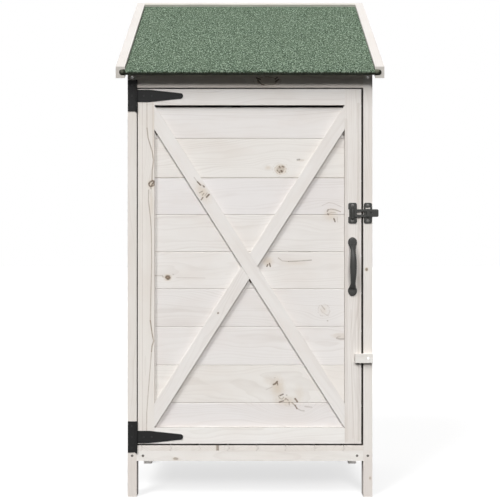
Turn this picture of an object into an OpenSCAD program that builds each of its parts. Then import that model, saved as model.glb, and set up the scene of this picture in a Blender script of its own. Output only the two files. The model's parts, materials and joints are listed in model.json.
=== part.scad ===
// Garden shed with a lean-to roof and one framed door with a cross brace.
// The origin is on the ground, midway across the width and midway along the roof's depth.
// X runs to the right, Y to the back and Z up. The door is at the front.

/* [Body] */
// Width over the posts
body_w = 765; // [640:1:1000]
// Depth over the posts
body_d = 495; // [420:1:700]
// Height of the front frame where it meets the roof boards
front_h = 1340; // [1150:1:1600]
// Post width, seen from the front
post_w = 28.5; // [26:0.5:40]
// Post depth, front to back
post_d = 45; // [40:1:60]
// Clear height of the legs under the sill
leg_h = 112; // [80:1:180]

/* [Wall frame] */
// Height of the front sill and of the floor bearers
sill_h = 32.5; // [28:0.5:50]
// Depth of the sill and the floor bearers, front to back
sill_t = 28; // [24:1:40]
// Height of the header over the door, at its front face
header_h = 61.5; // [45:1:90]
// Thickness of the header
header_t = 20; // [16:1:28]
// Thickness of the back rails
back_rail_t = 28; // [20:1:36]
// Height of the bottom rails in the side and back walls
bottom_rail_h = 70; // [60:1:110]
// Height of the top rails in the side and back walls
top_rail_h = 45; // [30:1:70]
// Height of the rafter under the roof boards
rafter_h = 40; // [25:1:60]

/* [Boards] */
// Height that one tongue-and-groove board covers
board_cover = 118; // [90:1:140]
// Thickness of the wall and door boards
board_t = 10; // [9:0.5:14]
// Width of a floor board
floor_cover = 90.3; // [70:0.1:120]
// Width of the cut strip that starts the floor at its left edge
floor_start = 14; // [10:1:60]
// Thickness of the floor boards
floor_t = 16.5; // [12:0.5:22]
// Height of a board's tongue
tongue_h = 5; // [3:0.5:8]
// Bevel along a board's long edges
bevel = 1.5; // [0.5:0.5:2.5]
// Gap left between two boards
board_gap = 0.4; // [0.2:0.1:1]

/* [Door] */
// Thickness of the door's frame and braces
frame_t = 12; // [12:1:20]
// Width of the door's stiles
frame_w = 51.5; // [48:0.5:80]
// Width of the door's rails
rail_w = 50; // [44:0.5:80]
// Width of the cross braces
brace_w = 41; // [30:1:60]
// Gap between the door and the hinge post
gap_hinge = 3.5; // [2:0.5:6]
// Gap between the door and the latch post
gap_latch = 6.5; // [3:0.5:8]
// Gap above the door
gap_top = 4; // [3:0.5:8]
// Gap below the door
gap_foot = 5; // [3:0.5:8]
// Open slit between the top rail and the first board
vent_gap = 5.5; // [3:0.5:10]
// Height of the top board, cut down to fit
top_board_h = 98; // [60:1:110]
// Height of the lowest board's foot above the door's foot
plank_foot_gap = 11; // [2:1:30]
// Distance of the boards' ends from the door's edges
board_inset = 2; // [1:0.5:6]

/* [Roof] */
// Slope of the roof in degrees
pitch = 31; // [20:0.5:36]
// Reach of the felt's front edge beyond the front posts
overhang_front = 52; // [48:1:80]
// Reach of the roof behind the back posts
overhang_back = 25; // [20:1:50]
// Thickness of the roof boards
roof_board_t = 10; // [9:0.5:16]
// Number of roof boards
roof_board_count = 7; // [5:1:9]
// Width of a barge board
barge_w = 28.5; // [20:0.5:40]
// Height of the barge boards above the underside of the roof boards
barge_up = 20.5; // [18:0.5:30]
// Depth of the barge boards below the underside of the roof boards
barge_down = 10.5; // [5:0.5:30]
// Gap between the barge boards and the posts
barge_gap = 2.5; // [1:0.5:6]
// Thickness of the batten along the roof's back edge
back_batten_t = 20; // [14:1:28]
// Thickness of the roofing felt
felt_t = 2.5; // [2:0.5:4]
// Reach of the felt's roll across the ends of the barge boards
roll_reach = 14; // [6:1:20]
// Width of felt folded under the front roof board
felt_tuck = 28; // [15:1:35]

/* [Hinges] */
// Height of a post plate
plate_h = 97; // [80:1:120]
// Width of a post plate, from the pin
plate_w = 26.5; // [22:0.5:28]
// Thickness of the hinge leaves
leaf_t = 2; // [1.5:0.5:3]
// Length of a strap, from the pin
strap_l = 146; // [110:1:220]
// Height of a strap at its root
strap_root = 38; // [30:1:44]
// Height of a strap at its tip
strap_tip = 17; // [10:1:24]
// Length of the strap's parallel stretch, from the pin
strap_straight = 40; // [25:1:60]
// Outer radius of the hinge barrels
barrel_r = 3.5; // [3:0.1:5]
// Radius of a hinge pin
pin_r = 1.75; // [1.4:0.05:2.2]
// Distance of the upper strap's centre line below the door's top
strap_down = 21.5; // [21:0.5:26]
// Distance of the lower strap's centre line above the door's foot
strap_up = 21.5; // [21:0.5:26]

/* [Latch] */
// Height of the hasp's centre line above the ground
latch_z = 886.5; // [700:0.5:1000]
// Height of the hasp's two screw plates
latch_plate_h = 64.5; // [58:0.5:80]
// Distance of the bracket and the handle from the stile's middle, away from the gap
hardware_shift = 1.5; // [0:0.5:6]
// Width of the plate on the door
bracket_w = 27; // [24:0.5:32]
// Width of the plate on the post
keeper_w = 25.5; // [24:0.5:26]
// Thickness of both plates
latch_plate_t = 2.5; // [2:0.5:3]
// Height of the boss round the knob
boss_h = 1; // [1:0.5:2]
// Radius of the hasp's barrels
latch_barrel_r = 5; // [4.5:0.1:6]
// Height of the hasp between its slot's outer edges
hasp_h = 24; // [20:0.5:26]
// Thickness of the hasp
hasp_t = 2.5; // [2:0.5:4]
// Height of the hasp's slot
slot_h = 9.2; // [9:0.1:10]
// Height of the tab at the hasp's free end
tab_h = 24; // [20:0.5:26]
// Radius of the hasp's eye round the knob
eye_r = 12.5; // [12.5:0.1:13]
// Reach of the tab beyond the post
tab_reach = 18.5; // [12:0.5:26]
// Radius of the knob's stem
stem_r = 3; // [2.5:0.1:3.4]
// Length of the knob's head
knob_l = 22; // [20:0.5:24]
// Width of the knob's head
knob_w = 8.4; // [8:0.1:8.6]
// Thickness of the knob's head
knob_t = 4; // [3:0.5:5]

/* [Handle] */
// Height of the handle's middle above the ground
handle_z = 719.5; // [560:0.5:780]
// Distance between the middles of the handle's feet
handle_span = 151; // [120:1:180]
// Distance of each screw from the middle of its foot, towards the grip
handle_screw_in = 2; // [0:0.5:3]
// Reach of the handle's grip from the door
handle_reach = 33; // [28:1:40]
// Half the width of the handle's oval feet
foot_r = 14.3; // [13:0.1:16]
// Half the height of the handle's oval feet
foot_tall = 16.5; // [14:0.5:20]
// Width of the grip at its middle
grip_w = 21.5; // [18:0.5:24]
// Width of the grip at its necks
neck_w = 15; // [11:0.5:17]

/* [Turn-button] */
// Height of the turn-button's pivot above the ground
button_z = 434; // [300:1:560]
// Length of the turn-button
button_l = 55; // [45:1:70]
// Height of the turn-button
button_h = 28; // [20:1:28]
// Thickness of the turn-button
button_t = 14; // [10:1:18]

/* [Clearances] */
// Radial clearance of pins, stems and screws in their bores
fit = 0.05; // [0.02:0.01:0.1]
// Clearance between pieces that move past each other
run = 0.3; // [0.2:0.05:0.5]

/* [Hidden] */
$fn = 48;

white = "#e2ddd8";
felt_green = "#6f8270";
black = "#333332";
tiny = 0.01;

// Places along Y: the front plane of the posts and door, and the back plane
front_y = -(overhang_front + body_d + overhang_back) / 2 + overhang_front;
back_y = front_y + body_d;
// Places along X
half_w = body_w / 2;
clear_half = half_w - post_w;
post_x = half_w - post_w / 2;
wall_half = clear_half - board_t;
// Places along Z
sill_top = leg_h + sill_h;
floor_top = sill_top + floor_t;
door_z0 = floor_top + gap_foot;
door_z1 = front_h - header_h - gap_top;
header_z0 = front_h - header_h;
// The door
door_x0 = -clear_half + gap_hinge;
door_x1 = clear_half - gap_latch;
door_w = door_x1 - door_x0;
door_mid_x = (door_x0 + door_x1) / 2;
door_mid_z = (door_z0 + door_z1) / 2;
inner_w = door_w - 2 * frame_w;
inner_h = door_z1 - door_z0 - 2 * rail_w;
plank_back_y = front_y + frame_t + board_t;
plank_top = door_z1 - rail_w - vent_gap;
plank_count = 9;
plank_cover = (plank_top - top_board_h - door_z0 - plank_foot_gap) / (plank_count - 1);
// Distance of each joint between two boards below its even place, from the top down
joint_drop = [0, 6.4, 2.8, 1.6, -0.3, 0, 3.4, 3.1];
// The braces' long edges meet the frame's inner corners at this angle to the rails
inner_diagonal = sqrt(inner_w * inner_w + inner_h * inner_h);
brace_angle = acos(brace_w / inner_diagonal) - atan2(inner_w, inner_h);
// The side boards start just behind the door, which closes against their ends
side_y0 = plank_back_y + run;
back_boards_y = back_y - back_rail_t - board_t;
side_l = back_boards_y - side_y0;

// Height of the roof boards' underside at a distance d behind the front plane
function roof_z(d) = front_h + d * tan(pitch);
wall_count = ceil((roof_z(back_boards_y - front_y) - floor_top) / board_cover);
floor_count = 1 + ceil((2 * clear_half - floor_start) / floor_cover);

// The roof, in its own plane: u runs up the slope from the front plane, n stands square to it
roof_half = half_w + barge_gap;
nose_r = roof_board_t / 2 + felt_t;
deck_u0 = (nose_r - overhang_front + sin(pitch) * roof_board_t / 2) / cos(pitch);
roof_end = body_d + overhang_back;
batten_u1 = (roof_end + sin(pitch) * barge_up) / cos(pitch);
deck_u1 = batten_u1 - back_batten_t;
deck_l = deck_u1 - deck_u0;
roof_cover = deck_l / roof_board_count;
roll_proud = 1.5;
barge_d0 = -overhang_front + nose_r - roll_proud;

// The T-hinges
pin_inset = 1;
hinge_x = -clear_half - pin_inset;
hinge_y = front_y - barrel_r - run;
upper_hinge_z = door_z1 - strap_down;
lower_hinge_z = door_z0 + strap_up;
leaf_inner = 1.3;
pin_head_h = 1;
pin_head_in = 0.6;
strap_holes = [23, 48, strap_l - strap_tip / 2];
plate_holes = [-34, 0, 34];
plate_hole_x = -(plate_w + leaf_inner) / 2;
hinge_screw_r = 1.9;
hinge_screw_head = 3.7;
hinge_screw_l = 11;

// The hasp, its bracket on the door and its keeper on the post
hardware_x = door_x1 - frame_w / 2 - hardware_shift;
hasp_pin_r = 2;
hasp_y = front_y - latch_plate_t - run - latch_barrel_r;
hasp_back_y = front_y - latch_plate_t - boss_h - run;
hasp_front_y = hasp_back_y - hasp_t;
knuckle_h = 3.8;
ear_step = 3;
ear_corner = 6;
plate_slot_w = 15;
plate_slot_h = 5;
plate_slot_z = 15.9;
thumb_ring_r = 5;
thumb_ring_h = 0.8;
boss_r = 11.5;
hasp_corner = 5;
latch_screw_z = 24;
round_screw_r = 2.2;
round_screw_head = 5;
round_screw_l = 11;
slot_start = 13.5;
slot_corner = 1.5;
slot_play = 2;
slot_end = post_x - hardware_x + knob_l / 2 + slot_play;

// The knob's foot turns in a round recess behind the keeper
stem_foot = 1.2;
stem_foot_r = 5;

// The handle: two oval feet and a grip that bows out between them, widest at its middle
foot_t = 5;
grip_start = 9;
grip_l = handle_span - 2 * grip_start;
grip_rings = 28;
grip_sides = 20;
grip_d = 12;
neck_d = 9;
grip_base = neck_d / 2 - 1;
grip_rise = handle_reach - grip_d / 2 - grip_base;
foot_bevel = 1.5;
screw_sunk = 0.6;
handle_screw_l = 13;

// The turn-button
button_screw_r = 2.4;
button_screw_head = 4.6;
button_screw_l = 25;
button_y = front_y - run;
button_long = button_l - post_w / 2;

// Countersunk screws in the frame
frame_screw_r = 2.2;
frame_screw_head = 4.2;
frame_screw_l = 24;
header_screw_up = 34;
post_screw_z = [leg_h + sill_h / 2, header_z0 + header_screw_up];
sill_screw_in = 19.5;
sill_screw_x = clear_half - sill_screw_in;

// Everything between two upright planes, d0 and d1 behind the front plane
module upright_slab(d0, d1) {
    translate([-body_w, front_y + d0, 0])
        cube([2 * body_w, d1 - d0, 3 * front_h]);
}

// The roof's own plane
module on_roof() {
    translate([0, front_y, front_h])
        rotate([pitch, 0, 0])
            children();
}

// Everything below the underside of the roof boards
module under_roof() {
    on_roof()
        translate([-body_w, -2 * front_h, -4 * front_h])
            cube([2 * body_w, 4 * front_h, 4 * front_h]);
}

// A plate in the XZ plane, t thick, whose back lies at depth y
module upright_plate(y, t) {
    translate([0, y, 0])
        rotate([90, 0, 0])
            linear_extrude(t)
                children();
}

// Section of a tongue-and-groove board: its face along x = 0, its groove at the foot
module board_section(cover, t) {
    top = cover - board_gap;
    slack = board_gap / 2;
    polygon([
        [0, bevel], [bevel, 0],
        [t / 3 - slack, 0], [t / 3 - slack, tongue_h + slack],
        [2 * t / 3 + slack, tongue_h + slack], [2 * t / 3 + slack, 0],
        [t - bevel, 0], [t, bevel],
        [t, top - bevel], [t - bevel, top],
        [2 * t / 3, top], [2 * t / 3, top + tongue_h],
        [t / 3, top + tongue_h], [t / 3, top],
        [bevel, top], [0, top - bevel]
    ]);
}

// A countersunk screw along Y: its head's face at y = 0, its shank to the back
module flat_screw(r, head, l) {
    rotate([-90, 0, 0]) {
        cylinder(h = head - r, r1 = head, r2 = r);
        cylinder(h = l, r = r);
    }
}

// The hole for a countersunk screw, open to the front
module flat_screw_hole(r, head, l) {
    flat_screw(r + fit, head + fit, l + fit);
    translate([0, tiny, 0])
        rotate([90, 0, 0])
            cylinder(h = 1, r = head + fit);
}

// A round-headed screw along Y: its head stands on y = 0
module round_screw(r, head, l) {
    dome_r = head * 1.25;
    dome_h = dome_r - sqrt(dome_r * dome_r - head * head);
    rotate([-90, 0, 0]) {
        cylinder(h = l, r = r);
        intersection() {
            translate([0, 0, dome_r - dome_h])
                sphere(r = dome_r);
            translate([0, 0, -dome_h])
                cylinder(h = dome_h, r = head);
        }
    }
}

// The hole for a round-headed screw, open to the front
module round_screw_hole(r, l) {
    translate([0, -1, 0])
        rotate([-90, 0, 0])
            cylinder(h = l + 1 + fit, r = r + fit);
}

module at_plate_screws(z_list) {
    for (z = z_list)
        for (dz = plate_holes)
            translate([hinge_x + plate_hole_x, front_y - leaf_t, z + dz])
                children();
}

module at_strap_screws(z_list) {
    for (z = z_list)
        for (dx = strap_holes)
            translate([hinge_x + dx, front_y - leaf_t, z])
                children();
}

module at_keeper_screws() {
    for (side = [-1, 1])
        translate([post_x, front_y - latch_plate_t, latch_z + side * latch_screw_z])
            children();
}

module at_bracket_screws() {
    for (side = [-1, 1])
        translate([hardware_x, front_y - latch_plate_t, latch_z + side * latch_screw_z])
            children();
}

module at_handle_screws() {
    apart = handle_span / 2 - handle_screw_in;
    for (side = [-1, 1])
        translate([hardware_x, front_y - foot_t + screw_sunk, handle_z + side * apart])
            children();
}

module at_frame_screws() {
    for (side = [-1, 1])
        for (z = post_screw_z)
            translate([side * post_x, front_y, z])
                children();
    for (side = [-1, 1])
        translate([side * sill_screw_x, front_y, post_screw_z[0]])
            children();
}

// All the holes that screws need in the wood
module wood_holes() {
    at_plate_screws([upper_hinge_z, lower_hinge_z])
        flat_screw_hole(hinge_screw_r, hinge_screw_head, hinge_screw_l);
    at_strap_screws([upper_hinge_z, lower_hinge_z])
        flat_screw_hole(hinge_screw_r, hinge_screw_head, hinge_screw_l);
    at_keeper_screws()
        round_screw_hole(round_screw_r, round_screw_l);
    at_bracket_screws()
        round_screw_hole(round_screw_r, round_screw_l);
    at_handle_screws()
        flat_screw_hole(hinge_screw_r, hinge_screw_head, handle_screw_l);
    at_frame_screws()
        flat_screw_hole(frame_screw_r, frame_screw_head, frame_screw_l);
    translate([post_x, button_y - button_t, button_z])
        round_screw_hole(button_screw_r, button_t + run + button_screw_l);
}

// A post whose outer front corner is at x, y, cut off along the roof
module post(x, y) {
    color(white)
        difference() {
            intersection() {
                translate([x, y, 0])
                    cube([post_w, post_d, 2 * front_h]);
                under_roof();
            }
            wood_holes();
            translate([post_x, front_y, latch_z])
                rotate([-90, 0, 0])
                    cylinder(h = stem_foot + run, r = stem_foot_r + run);
        }
}

module front_post_left() { post(-half_w, front_y); }
module front_post_right() { post(clear_half, front_y); }
module back_post_left() { post(-half_w, back_y - post_d); }
module back_post_right() { post(clear_half, back_y - post_d); }

module sill_front() {
    color(white)
        difference() {
            translate([-clear_half, front_y, leg_h])
                cube([2 * clear_half, sill_t, sill_h]);
            at_frame_screws()
                flat_screw_hole(frame_screw_r, frame_screw_head, frame_screw_l);
        }
}

module header_front() {
    color(white)
        intersection() {
            translate([-clear_half, front_y, header_z0])
                cube([2 * clear_half, header_t, 2 * header_h]);
            under_roof();
        }
}

module bottom_rail_side(x) {
    color(white)
        translate([x, front_y + post_d, leg_h])
            cube([post_w, body_d - 2 * post_d, bottom_rail_h]);
}

module bottom_rail_left() { bottom_rail_side(-half_w); }
module bottom_rail_right() { bottom_rail_side(clear_half); }

module bottom_rail_back() {
    color(white)
        translate([-clear_half, back_y - back_rail_t, leg_h])
            cube([2 * clear_half, back_rail_t, bottom_rail_h]);
}

// A sloping rail right under the roof boards
module sloping_rail(x, w, h, d0, d1) {
    color(white)
        intersection() {
            on_roof()
                translate([x, 0, -h])
                    cube([w, 2 * body_d, h]);
            upright_slab(d0, d1);
        }
}

module top_rail_left() { sloping_rail(-half_w, post_w, top_rail_h, post_d, body_d - post_d); }
module top_rail_right() { sloping_rail(clear_half, post_w, top_rail_h, post_d, body_d - post_d); }

module rafter_middle() {
    sloping_rail(-post_w / 2, post_w, rafter_h, header_t, body_d - back_rail_t - board_t);
}

module top_rail_back() {
    color(white)
        intersection() {
            translate([-clear_half, back_y - back_rail_t, roof_z(body_d - back_rail_t) - top_rail_h])
                cube([2 * clear_half, back_rail_t, 2 * top_rail_h]);
            under_roof();
        }
}

// Boards of one side wall, stacked from the floor and cut off along the roof
module side_boards() {
    for (i = [0 : wall_count - 1])
        intersection() {
            translate([wall_half, side_y0 + side_l, floor_top + i * board_cover])
                rotate([90, 0, 0])
                    linear_extrude(side_l)
                        board_section(board_cover, board_t);
            under_roof();
        }
}

module side_boards_right() {
    color(white)
        side_boards();
}

module side_boards_left() {
    color(white)
        mirror([1, 0, 0])
            side_boards();
}

module back_boards() {
    color(white)
        for (i = [0 : wall_count - 1])
            intersection() {
                translate([-clear_half, back_boards_y, floor_top + i * board_cover])
                    rotate([90, 0, 90])
                        linear_extrude(2 * clear_half)
                            board_section(board_cover, board_t);
                under_roof();
            }
}

// Boards of the floor run from front to back; the first and the last are cut down to fit
module floor_boards() {
    color(white)
        for (i = [0 : floor_count - 1])
            intersection() {
                translate([-clear_half + floor_start + (i - 1) * floor_cover, front_y, sill_top])
                    rotate([-90, 0, 0])
                        rotate([0, 0, -90])
                            linear_extrude(body_d - back_rail_t)
                                board_section(floor_cover, floor_t);
                translate([-clear_half, front_y, 0])
                    cube([2 * clear_half, body_d, front_h]);
            }
}

module floor_bearer(y) {
    color(white)
        translate([-clear_half, y, leg_h])
            cube([2 * clear_half, sill_t, sill_h]);
}

module floor_bearer_middle() { floor_bearer((front_y + back_y - sill_t) / 2); }
module floor_bearer_back() { floor_bearer(back_y - back_rail_t - sill_t); }

module roof_boards() {
    color(white)
        on_roof()
            for (i = [0 : roof_board_count - 1])
                translate([0, deck_u0 + i * roof_cover, 0])
                    rotate([0, -90, 0])
                        linear_extrude(2 * roof_half, center = true)
                            intersection() {
                                board_section(roof_cover, roof_board_t);
                                square([roof_board_t, i < roof_board_count - 1
                                    ? 2 * roof_cover : roof_cover - board_gap]);
                            }
}

module barge_board(x) {
    color(white)
        intersection() {
            on_roof()
                translate([x, -body_d, -barge_down])
                    cube([barge_w, 4 * body_d, barge_down + barge_up]);
            upright_slab(barge_d0, roof_end);
        }
}

module barge_board_left() { barge_board(-roof_half - barge_w); }
module barge_board_right() { barge_board(roof_half); }

module roof_back_batten() {
    color(white)
        intersection() {
            on_roof()
                translate([-roof_half, deck_u1, -barge_down])
                    cube([2 * roof_half, 3 * back_batten_t, barge_down + barge_up]);
            upright_slab(0, roof_end);
        }
}

// Section of the felt: over the roof boards, round their front edge and a short way under
module felt_section() {
    difference() {
        union() {
            translate([deck_u0, roof_board_t / 2])
                circle(r = nose_r);
            translate([deck_u0, 0])
                square([deck_l, roof_board_t + felt_t]);
            translate([deck_u0, -felt_t])
                square([felt_tuck, felt_t + tiny]);
        }
        translate([deck_u0, 0])
            square([deck_l, roof_board_t]);
    }
}

module roof_felt() {
    color(felt_green) {
        on_roof()
            rotate([90, 0, 90])
                translate([0, 0, -roof_half])
                    linear_extrude(2 * roof_half)
                        felt_section();
        intersection() {
            on_roof()
                for (x = [-roof_half - roll_reach, roof_half])
                    translate([x, deck_u0, roof_board_t / 2])
                        rotate([0, 90, 0])
                            cylinder(h = roll_reach, r = nose_r);
            upright_slab(-2 * overhang_front, barge_d0 - board_gap);
        }
    }
}

// A T-hinge's post plate, with barrels above and below the strap's own
module hinge_plate(z) {
    notch_h = strap_root + 2 * run;
    color(black)
        difference() {
            union() {
                upright_plate(front_y, leaf_t)
                    translate([hinge_x - plate_w, z - plate_h / 2])
                        square([plate_w - leaf_inner, plate_h]);
                translate([hinge_x, hinge_y, z - plate_h / 2])
                    cylinder(h = plate_h, r = barrel_r);
            }
            translate([hinge_x - barrel_r - run, front_y - 4 * barrel_r, z - notch_h / 2])
                cube([4 * barrel_r, 4 * barrel_r + tiny, notch_h]);
            translate([hinge_x, hinge_y, z - plate_h])
                cylinder(h = 2 * plate_h, r = pin_r + fit);
            at_plate_screws([z])
                flat_screw_hole(hinge_screw_r, hinge_screw_head, hinge_screw_l);
        }
}

module hinge_plate_upper() { hinge_plate(upper_hinge_z); }
module hinge_plate_lower() { hinge_plate(lower_hinge_z); }

// A T-hinge's strap: a parallel root, a long taper and a round tip
module hinge_strap(z) {
    taper_end = strap_l - strap_tip / 2;
    color(black)
        difference() {
            union() {
                upright_plate(front_y, leaf_t) {
                    polygon([
                        [hinge_x + leaf_inner, z - strap_root / 2],
                        [hinge_x + strap_straight, z - strap_root / 2],
                        [hinge_x + taper_end, z - strap_tip / 2],
                        [hinge_x + taper_end, z + strap_tip / 2],
                        [hinge_x + strap_straight, z + strap_root / 2],
                        [hinge_x + leaf_inner, z + strap_root / 2]
                    ]);
                    translate([hinge_x + taper_end, z])
                        circle(r = strap_tip / 2);
                }
                translate([hinge_x, hinge_y, z - strap_root / 2])
                    cylinder(h = strap_root, r = barrel_r);
            }
            translate([hinge_x, hinge_y, z - plate_h])
                cylinder(h = 2 * plate_h, r = pin_r + fit);
            at_strap_screws([z])
                flat_screw_hole(hinge_screw_r, hinge_screw_head, hinge_screw_l);
        }
}

module hinge_strap_upper() { hinge_strap(upper_hinge_z); }
module hinge_strap_lower() { hinge_strap(lower_hinge_z); }

// A hinge pin with a flat head on each end of the barrels
module hinge_pin(z) {
    color(black)
        translate([hinge_x, hinge_y, z]) {
            cylinder(h = plate_h, r = pin_r, center = true);
            for (side = [-1, 1])
                translate([0, 0, side * (plate_h + pin_head_h) / 2])
                    cylinder(h = pin_head_h, r = barrel_r - pin_head_in, center = true);
        }
}

module hinge_pin_upper() { hinge_pin(upper_hinge_z); }
module hinge_pin_lower() { hinge_pin(lower_hinge_z); }

module plate_screws() {
    color(black)
        at_plate_screws([upper_hinge_z, lower_hinge_z])
            flat_screw(hinge_screw_r, hinge_screw_head, hinge_screw_l);
}

module strap_screws() {
    color(black)
        at_strap_screws([upper_hinge_z, lower_hinge_z])
            flat_screw(hinge_screw_r, hinge_screw_head, hinge_screw_l);
}

module frame_screws() {
    color("#6b6865")
        at_frame_screws()
            flat_screw(frame_screw_r, frame_screw_head, frame_screw_l);
}

// A rectangle with rounded corners, centred on its origin
module rounded(w, h, r) {
    square([w - 2 * r, h], center = true);
    square([w, h - 2 * r], center = true);
    for (x = [-1, 1])
        for (y = [-1, 1])
            translate([x * (w / 2 - r), y * (h / 2 - r)])
                circle(r = r);
}

// The plate on the post, with a low boss round the knob's stem and a slot above it
module latch_keeper() {
    color(black)
        difference() {
            union() {
                upright_plate(front_y, latch_plate_t)
                    translate([post_x, latch_z])
                        rounded(keeper_w, latch_plate_h, ear_corner);
                upright_plate(front_y - latch_plate_t + tiny, boss_h + tiny)
                    translate([post_x, latch_z])
                        circle(r = boss_r);
            }
            translate([post_x, front_y + 1, latch_z])
                rotate([90, 0, 0])
                    cylinder(h = 10, r = stem_r + fit);
            translate([post_x, front_y, latch_z + plate_slot_z])
                cube([plate_slot_w, 2 * latch_plate_t + tiny, plate_slot_h], center = true);
            at_keeper_screws()
                round_screw_hole(round_screw_r, round_screw_l);
        }
}

module keeper_screws() {
    color(black)
        at_keeper_screws()
            round_screw(round_screw_r, round_screw_head, round_screw_l);
}

// The knob's head stands across the hasp's slot; a quarter turn lets it through
module latch_knob() {
    head_y = hasp_front_y - run;
    color(black)
        union() {
            upright_plate(head_y, knob_t)
                translate([post_x, latch_z]) {
                    square([knob_w, knob_l - knob_w], center = true);
                    for (side = [-1, 1])
                        translate([0, side * (knob_l - knob_w) / 2])
                            circle(r = knob_w / 2);
                }
            translate([post_x, front_y, latch_z])
                rotate([90, 0, 0])
                    cylinder(h = front_y - head_y + tiny, r = stem_r);
            translate([post_x, front_y + stem_foot, latch_z])
                rotate([90, 0, 0])
                    cylinder(h = stem_foot, r = stem_foot_r);
        }
}

// The bracket on the door carries the hasp's pin between two barrels
module hasp_bracket() {
    color(black)
        difference() {
            union() {
                upright_plate(front_y, latch_plate_t)
                    translate([hardware_x, latch_z])
                        difference() {
                            rounded(bracket_w, latch_plate_h, ear_corner);
                            for (side = [-1, 1])
                                translate([side * bracket_w / 2, 0])
                                    square([2 * ear_step, hasp_h], center = true);
                        }
                for (side = [-1, 1])
                    translate([hardware_x, 0, latch_z + side * (hasp_h / 2 + run + knuckle_h / 2)]) {
                        translate([0, hasp_y, 0])
                            cylinder(h = knuckle_h, r = latch_barrel_r, center = true);
                        translate([-latch_barrel_r, hasp_y, -knuckle_h / 2])
                            cube([2 * latch_barrel_r, front_y - hasp_y - tiny, knuckle_h]);
                    }
            }
            translate([hardware_x, hasp_y, latch_z])
                cylinder(h = latch_plate_h, r = hasp_pin_r + fit, center = true);
            at_bracket_screws()
                round_screw_hole(round_screw_r, round_screw_l);
        }
}

module hasp_pin() {
    pin_l = hasp_h + 2 * (run + knuckle_h);
    color(black)
        translate([hardware_x, hasp_y, latch_z]) {
            cylinder(h = pin_l, r = hasp_pin_r, center = true);
            for (side = [-1, 1])
                translate([0, 0, side * (pin_l + pin_head_h) / 2])
                    cylinder(h = pin_head_h, r = latch_barrel_r - pin_head_in, center = true);
        }
}

// Outline of the hasp from its pin to the tab, without its slot
module hasp_outline() {
    knob_x = post_x - hardware_x;
    tab_end = half_w + tab_reach - hardware_x;
    translate([0, -hasp_h / 2])
        square([knob_x, hasp_h]);
    translate([knob_x, 0])
        circle(r = eye_r);
    translate([tab_end - tab_h / 2 - hasp_corner, 0])
        rounded(tab_h + 2 * hasp_corner, tab_h, hasp_corner);
}

// The hasp: a barrel on the bracket's pin, two rails along the slot, an eye and a tab
module hasp_arm() {
    color(black)
        difference() {
            union() {
                upright_plate(hasp_back_y, hasp_t)
                    translate([hardware_x, latch_z])
                        hasp_outline();
                upright_plate(hasp_front_y + tiny, thumb_ring_h + tiny)
                    translate([half_w + tab_reach / 2, latch_z])
                        difference() {
                            circle(r = thumb_ring_r);
                            circle(r = thumb_ring_r - thumb_ring_h * 2);
                        }
                translate([hardware_x, hasp_y, latch_z])
                    cylinder(h = hasp_h, r = latch_barrel_r, center = true);
            }
            translate([hardware_x, hasp_y, latch_z])
                cylinder(h = 2 * hasp_h, r = hasp_pin_r + fit, center = true);
            upright_plate(hasp_back_y + 1, hasp_t + 2)
                translate([hardware_x, latch_z]) {
                    translate([slot_start + slot_h / 2, 0])
                        rounded(slot_h, slot_h, slot_corner);
                    translate([slot_start + slot_corner, -slot_h / 2])
                        square([slot_end - slot_start - slot_corner - slot_h / 2, slot_h]);
                    translate([slot_end - slot_h / 2, 0])
                        circle(r = slot_h / 2);
                }
        }
}

// Place of the grip's middle line at t, from 0 at its lower end to 1 at its upper end
function grip_z(t) = handle_z + (t - 0.5) * grip_l;
function grip_out(t) = grip_base + grip_rise * (1 - pow(2 * t - 1, 4));
function grip_slope(t) = atan2(grip_out(t + 0.001) - grip_out(t - 0.001), 0.002 * grip_l);
function swell(t) = pow(sin(180 * t), 2);
function grip_point(t, a) =
    let (
        half_wide = (neck_w + (grip_w - neck_w) * swell(t)) / 2,
        half_deep = (neck_d + (grip_d - neck_d) * swell(t)) / 2,
        lift = half_deep * sin(a)
    )
    [
        hardware_x + half_wide * cos(a),
        front_y - grip_out(t) - lift * cos(grip_slope(t)),
        grip_z(t) - lift * sin(grip_slope(t))
    ];

module grip() {
    points = [
        for (i = [0 : grip_rings])
            for (j = [0 : grip_sides - 1])
                grip_point(i / grip_rings, 360 * j / grip_sides)
    ];
    walls = [
        for (i = [0 : grip_rings - 1])
            for (j = [0 : grip_sides - 1])
                let (
                    k = (j + 1) % grip_sides,
                    low = i * grip_sides,
                    high = low + grip_sides
                )
                for (face = [[low + j, low + k, high + k], [low + j, high + k, high + j]])
                    face
    ];
    first_cap = [for (j = [0 : grip_sides - 1]) grip_sides - 1 - j];
    last_cap = [for (j = [0 : grip_sides - 1]) grip_rings * grip_sides + j];
    polyhedron(points, concat(walls, [first_cap, last_cap]), convexity = 4);
}

module door_handle() {
    color(black)
        difference() {
            union() {
                grip();
                for (side = [-1, 1])
                    translate([hardware_x, front_y, handle_z + side * handle_span / 2])
                        rotate([90, 0, 0])
                        scale([1, foot_tall / foot_r, 1]) {
                            cylinder(h = foot_t - foot_bevel, r = foot_r);
                            translate([0, 0, foot_t - foot_bevel])
                                cylinder(h = foot_bevel, r1 = foot_r, r2 = foot_r - foot_bevel);
                        }
            }
            at_handle_screws()
                flat_screw_hole(hinge_screw_r, hinge_screw_head, handle_screw_l);
        }
}

module stile_screws() {
    color(black) {
        at_bracket_screws()
            round_screw(round_screw_r, round_screw_head, round_screw_l);
        at_handle_screws()
            flat_screw(hinge_screw_r, hinge_screw_head, handle_screw_l);
    }
}

// A stile of the door's frame, whose left edge is at x
module door_stile(x) {
    color(white)
        difference() {
            translate([x, front_y, door_z0])
                cube([frame_w, frame_t, door_z1 - door_z0]);
            wood_holes();
        }
}

module door_stile_left() { door_stile(door_x0); }
module door_stile_right() { door_stile(door_x1 - frame_w); }

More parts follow.
